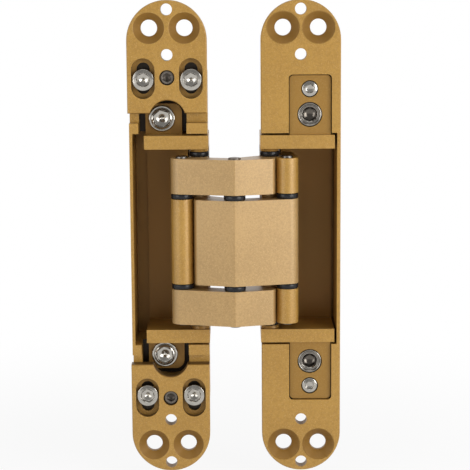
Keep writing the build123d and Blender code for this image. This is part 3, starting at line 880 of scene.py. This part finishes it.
class HINGE_OT_linkage(bpy.types.Operator):
    """Finish the arms and links"""

    bl_idname = "hinge.linkage"
    bl_label = "Arms and Links"
    bl_options = {"REGISTER", "UNDO"}

    def execute(self, context):
        looks = context.scene.hinge_finishes
        # The arms' finish carries a painted sheen in its paler colour
        pale = gold_finish("satin_gold_arms", looks.arm_gold_with_sheen, looks.arm_shade_with_sheen, looks)
        deep = gold_finish("satin_gold_links", looks.gold, looks.gold_shade, looks)
        for node in ARMS + LINKS:
            piece = casting(node, context.scene.hinge_sizes.linkage_edge, ARM_CORNER)
            dress(piece, node, pale if node in ARMS else deep)
        return {"FINISHED"}


class HINGE_OT_clamp_screws(ScrewGroup, bpy.types.Operator):
    """Make the four screws that clamp the height"""

    bl_idname = "hinge.clamp_screws"
    bl_label = "Height Clamp Screws"
    axes = (ALONG_X, ALONG_Z)
    turns = (8.0, -6.0, 14.0, 3.0)

    def execute(self, context):
        sizes = context.scene.hinge_sizes
        return self.build(
            context, "height_clamp_screws", sizes.clamp_head, sizes.clamp_shank, sizes.clamp_hex
        )


class HINGE_OT_side_screws(ScrewGroup, bpy.types.Operator):
    """Make the two flanged screws that clamp the side adjustment"""

    bl_idname = "hinge.side_screws"
    bl_label = "Side Clamp Screws"
    turns = (4.0, 12.0)

    def execute(self, context):
        sizes = context.scene.hinge_sizes
        return self.build(
            context,
            "side_clamp_screws",
            sizes.side_head,
            sizes.side_shank,
            sizes.side_hex,
            flange=sizes.side_flange,
        )


class HINGE_OT_lock_screws(ScrewGroup, bpy.types.Operator):
    """Make the two screws that lock the depth"""

    bl_idname = "hinge.lock_screws"
    bl_label = "Depth Lock Screws"
    turns = (20.0, -10.0)

    def execute(self, context):
        sizes = context.scene.hinge_sizes
        return self.build(
            context,
            "depth_lock_screws",
            sizes.lock_head,
            sizes.lock_shank,
            sizes.lock_hex,
            gap=sizes.head_gap,
        )


class HINGE_OT_grub_screws(bpy.types.Operator):
    """Make the grub screws in the end plates"""

    bl_idname = "hinge.grub_screws"
    bl_label = "Grub Screws"
    bl_options = {"REGISTER", "UNDO"}

    def execute(self, context):
        node = "plate_grub_screws"
        sizes = context.scene.hinge_sizes
        boxes = solid_boxes(node, (ALONG_Z,))
        low, high = boxes[0]
        radius = (high.x - low.x) / 2
        length = high.y - low.y
        bevel = radius * GRUB_BEVEL_SHARE
        outline = [(0, -length), (radius - bevel, -length), (radius, bevel - length)]
        outline += [(radius, -bevel), (radius - bevel, 0), (0, 0)]
        pattern = turned(node, outline, OUT_OF_LEAF, ROUND)
        cut_socket(pattern, sizes.grub_hex, 0, length * GRUB_SOCKET_SHARE, sizes.socket_flare)
        soften(pattern, sizes.screw_edge, TURNED_CORNER)
        # The socket's faces get painted shade
        mark(pattern, [SOCKET_SHADE * in_socket(face, sizes.grub_hex, bevel) for face in pattern.data.polygons])
        places = [(Vector(((a.x + b.x) / 2, a.y, (a.z + b.z) / 2)), 0.0) for a, b in boxes]
        piece = set_at(pattern, node + "_turned", places)
        dress(piece, node, black_steel_finish(context.scene.hinge_finishes))
        return {"FINISHED"}


def adjuster_outline(radius, length, sizes):
    """Profile of a depth adjuster with its ringed head at the origin."""
    collar = sizes.collar_height
    journal = sizes.journal / 2
    rivet = sizes.rivet / 2
    shoulder = sizes.rivet_height - length
    rim = sizes.head_edge
    dish = sizes.adjuster_dish
    outline = [(0, -length), (rivet - rim, -length), (rivet, rim - length)]
    outline += [(rivet, shoulder), (journal, shoulder), (journal, -collar), (radius, -collar)]
    outline += rounded_rim(radius, 0, rim)
    outline += [(radius * part, -dish * fall) for part, fall in ADJUSTER_RINGS]
    outline.append((0, -dish))
    return outline


class HINGE_OT_adjusters(bpy.types.Operator):
    """Make the ringed heads of the depth adjusters and their riveted journals"""

    bl_idname = "hinge.adjusters"
    bl_label = "Depth Adjusters"
    bl_options = {"REGISTER", "UNDO"}

    def execute(self, context):
        sizes = context.scene.hinge_sizes
        looks = context.scene.hinge_finishes
        finish = plated_finish("turned_steel", looks.turned_steel, looks)
        dish = sizes.adjuster_dish
        flats = sizes.adjuster_hex
        for node in ADJUSTERS:
            low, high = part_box(node)
            radius = (high.x - low.x) / 2 - sizes.head_gap
            outline = adjuster_outline(radius, high.y - low.y, sizes)
            piece = turned(node + "_turned", outline, OUT_OF_LEAF, ROUND)
            cut_socket(piece, flats, -dish, sizes.collar_height * ADJUSTER_SOCKET_SHARE, sizes.socket_flare)
            soften(piece, sizes.screw_edge, TURNED_CORNER)
            # The socket's faces get painted shade
            mark(piece, [SOCKET_SHADE * in_socket(face, flats, 2 * dish) for face in piece.data.polygons])
            middle = Vector(((low.x + high.x) / 2, low.y, (low.z + high.z) / 2))
            piece.data.transform(Matrix.Translation(middle))
            dress(piece, node, finish)
        return {"FINISHED"}


def turned_pin(node, chamfer):
    """A pin with chamfered, slightly domed ends."""
    low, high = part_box(node)
    radius = (high.x - low.x) / 2
    half = (high.z - low.z) / 2
    crown = chamfer * CROWN_SHARE
    side = [
        (0, half),
        (radius * CROWN_R_SHARE, half - crown * CROWN_FALL),
        (radius - chamfer, half - crown),
        (radius, half - chamfer),
    ]
    outline = [(r, -z) for r, z in side] + [(r, z) for r, z in reversed(side)]
    piece = turned(node + "_ground", outline, UP_THE_LEAF, PIN_STEPS)
    soften(piece, chamfer * PIN_EDGE_SHARE, PIN_CORNER)
    piece.data.transform(Matrix.Translation((low + high) / 2))
    return piece


class HINGE_OT_pins(bpy.types.Operator):
    """Make the pins of the arms and links"""

    bl_idname = "hinge.pins"
    bl_label = "Pins"
    bl_options = {"REGISTER", "UNDO"}

    def execute(self, context):
        chamfer = context.scene.hinge_sizes.pin_chamfer
        finish = ground_steel_finish(context.scene.hinge_finishes)
        for node in PINS:
            dress(turned_pin(node, chamfer), node, finish)
        black = black_steel_finish(context.scene.hinge_finishes)
        dress(turned_pin("centre_pin", chamfer), "centre_pin", black)
        return {"FINISHED"}


class HINGE_OT_washers(bpy.types.Operator):
    """Make the black washers between the arms and under the bosses"""

    bl_idname = "hinge.washers"
    bl_label = "Washers"
    bl_options = {"REGISTER", "UNDO"}

    def execute(self, context):
        edge = context.scene.hinge_sizes.washer_edge
        finish = nylon_finish(context.scene.hinge_finishes)
        for node in WASHERS:
            boxes = solid_boxes(node, (ALONG_Z,))
            low, high = boxes[0]
            middle = (low + high) / 2
            outer = (high.x - low.x) / 2
            half = (high.z - low.z) / 2
            bore = min((v.co - middle).xy.length for v in NODES[node].data.vertices)
            outline = [(outer, -half), (outer, half), (bore, half), (bore, -half), (outer, -half)]
            pattern = turned(node, outline, UP_THE_LEAF, WASHER_STEPS)
            soften(pattern, edge, WASHER_CORNER, segments=3)
            piece = set_at(pattern, node + "_moulded", [((a + b) / 2, 0.0) for a, b in boxes])
            dress(piece, node, finish)
        return {"FINISHED"}


def softbox(name, target, power, azimuth, elevation, distance, width, height):
    """A broad lamp that faces the hinge from a direction round the camera's."""
    lamp = bpy.data.lights.new(name, "AREA")
    lamp.shape = "RECTANGLE"
    lamp.size = width
    lamp.size_y = height
    lamp.energy = power
    held = bpy.data.objects.new(name, lamp)
    back = Vector((sin(azimuth) * cos(elevation), -cos(azimuth) * cos(elevation), sin(elevation)))
    held.location = target + back * distance
    held.rotation_euler = (-back).to_track_quat("-Z", "Y").to_euler()
    bpy.context.scene.collection.objects.link(held)


def ray_kinds(tree):
    """Whether a ray comes from the camera, off a gloss or through glass, as three wires of 0 or 1."""
    seen = tree.node("ShaderNodeLightPath", out="Is Camera Ray")
    mirrored = tree.node("ShaderNodeLightPath", out="Is Glossy Ray")
    through = tree.node("ShaderNodeLightPath", out="Is Transmission Ray")
    return seen, mirrored, through


class HINGE_OT_studio(bpy.types.Operator):
    """Set the floor, sky, lamps and camera"""

    bl_idname = "hinge.studio"
    bl_label = "Studio"
    bl_options = {"REGISTER", "UNDO"}

    def execute(self, context):
        studio = context.scene.hinge_studio
        target = Vector(((CAD_LOW.x + CAD_HIGH.x) / 2, FACE_Y, 0))
        self.set_floor()
        self.set_sky(studio)
        self.set_camera(studio, target)
        softbox("right_softbox", target, studio.right_lamp, SIDE_AZIMUTH, **SIDE_BOX)
        softbox("left_softbox", target, studio.left_lamp, -SIDE_AZIMUTH, **SIDE_BOX)
        softbox("top_softbox", target, studio.top_lamp, TOP_AZIMUTH, **TOP_BOX)
        context.scene.view_settings.view_transform = "Standard"
        return {"FINISHED"}

    def set_camera(self, studio, target):
        """Stand the camera where the photograph was taken."""
        lens = bpy.data.cameras.new("photo_camera")
        lens.lens = studio.lens
        lens.clip_start = CLIP_START
        lens.shift_x = -studio.aside / PHOTO_PIXELS
        lens.shift_y = studio.down / PHOTO_PIXELS
        camera = bpy.data.objects.new("photo_camera", lens)
        back = Vector((0, -cos(studio.elevation), sin(studio.elevation)))
        camera.location = target + back * studio.distance
        level = (-back).to_track_quat("-Z", "Y")
        camera.rotation_euler = (level @ Quaternion((0, 0, 1), studio.roll)).to_euler()
        bpy.context.scene.collection.objects.link(camera)
        bpy.context.scene.camera = camera

    def set_floor(self):
        """Lay a pale floor that shows the hinge's shadow near it and is white further off."""
        deselect()
        bpy.ops.mesh.primitive_circle_add(
            vertices=FLOOR_SIDES, radius=FLOOR_R, fill_type="NGON", location=(0, 0, CAD_LOW.z - FLOOR_DROP)
        )
        floor = bpy.context.active_object
        floor.name = "pale_floor"
        finish, tree, place = new_finish("pale_floor")
        seen, mirrored, through = ray_kinds(tree)
        paint = tree.blend(tree.noise(place, FLOOR_MOTTLE), *map(opaque, FLOOR_PAINT))
        plain = tree.node("ShaderNodeBsdfDiffuse", {}, {"Color": paint})
        white = tree.node("ShaderNodeEmission", {}, {"Color": opaque(WHITE), "Strength": 1.0})
        away = tree.node("ShaderNodeVectorMath", {"operation": "LENGTH"}, {"Vector": place}, out="Value")
        whiteness = NEAR_WHITE + (1 - NEAR_WHITE) * tree.ramp(away, *WHITE_EDGE)
        shown = whiteness * (seen + mirrored + through)
        mixed = tree.node("ShaderNodeMixShader", {}, {0: shown, 1: plain, 2: white})
        tree.node("ShaderNodeOutputMaterial", {}, {"Surface": mixed})
        floor.data.materials.append(finish)

    def set_sky(self, studio):
        """Hang a sky that is white to look at, bright in gloss and soft as a light, and dimmer in front."""
        world = bpy.data.worlds.new("studio_sky")
        world.use_nodes = True
        bpy.context.scene.world = world
        tree = Tree(world.node_tree)
        seen, mirrored, through = ray_kinds(tree)
        way = tree.node("ShaderNodeTexCoord", out="Generated")
        inward = tree.node("ShaderNodeSeparateXYZ", {}, {"Vector": way}, out="Y")
        front = tree.ramp(-1.0 * inward, *FRONT_EDGE)
        left = 1 - (1 - studio.front_sky) * front
        behind = seen + through
        level = behind + (1 - behind) * left * (mirrored + (1 - mirrored) * studio.sky)
        shown = tree.node("ShaderNodeBackground", {}, {"Color": opaque(WHITE), "Strength": level})
        tree.node("ShaderNodeOutputWorld", {}, {"Surface": shown})


class HINGE_PT_sidebar(bpy.types.Panel):
    """Sizes, colours and steps of the hinge"""

    bl_idname = "HINGE_PT_sidebar"
    bl_label = "Concealed Hinge"
    bl_space_type = "VIEW_3D"
    bl_region_type = "UI"
    bl_category = "Hinge"

    def draw(self, context):
        layout = self.layout
        for group in (context.scene.hinge_finishes, context.scene.hinge_sizes, context.scene.hinge_studio):
            column = layout.column(align=True)
            for key in group.__annotations__:
                column.prop(group, key)
        for step in STEPS:
            layout.operator(step.bl_idname)


STEPS = (
    HINGE_OT_castings,
    HINGE_OT_linkage,
    HINGE_OT_clamp_screws,
    HINGE_OT_side_screws,
    HINGE_OT_lock_screws,
    HINGE_OT_grub_screws,
    HINGE_OT_adjusters,
    HINGE_OT_pins,
    HINGE_OT_washers,
    HINGE_OT_studio,
)
GROUPS = {"hinge_finishes": HingeFinishes, "hinge_sizes": HingeSizes, "hinge_studio": HingeStudio}


def register():
    for group in GROUPS.values():
        bpy.utils.register_class(group)
    for name, group in GROUPS.items():
        setattr(bpy.types.Scene, name, bpy.props.PointerProperty(type=group))
    for step in STEPS:
        bpy.utils.register_class(step)
    bpy.utils.register_class(HINGE_PT_sidebar)


def unregister():
    bpy.utils.unregister_class(HINGE_PT_sidebar)
    for step in reversed(STEPS):
        bpy.utils.unregister_class(step)
    for name in GROUPS:
        delattr(bpy.types.Scene, name)
    for group in GROUPS.values():
        bpy.utils.unregister_class(group)


def main():
    """Build the hinge and its studio."""
    register()
    bpy.ops.hinge.castings()
    bpy.ops.hinge.linkage()
    bpy.ops.hinge.clamp_screws()
    bpy.ops.hinge.side_screws()
    bpy.ops.hinge.lock_screws()
    bpy.ops.hinge.grub_screws()
    bpy.ops.hinge.adjusters()
    bpy.ops.hinge.pins()
    bpy.ops.hinge.washers()
    bpy.ops.hinge.studio()


if __name__ == "__main__":
    main()
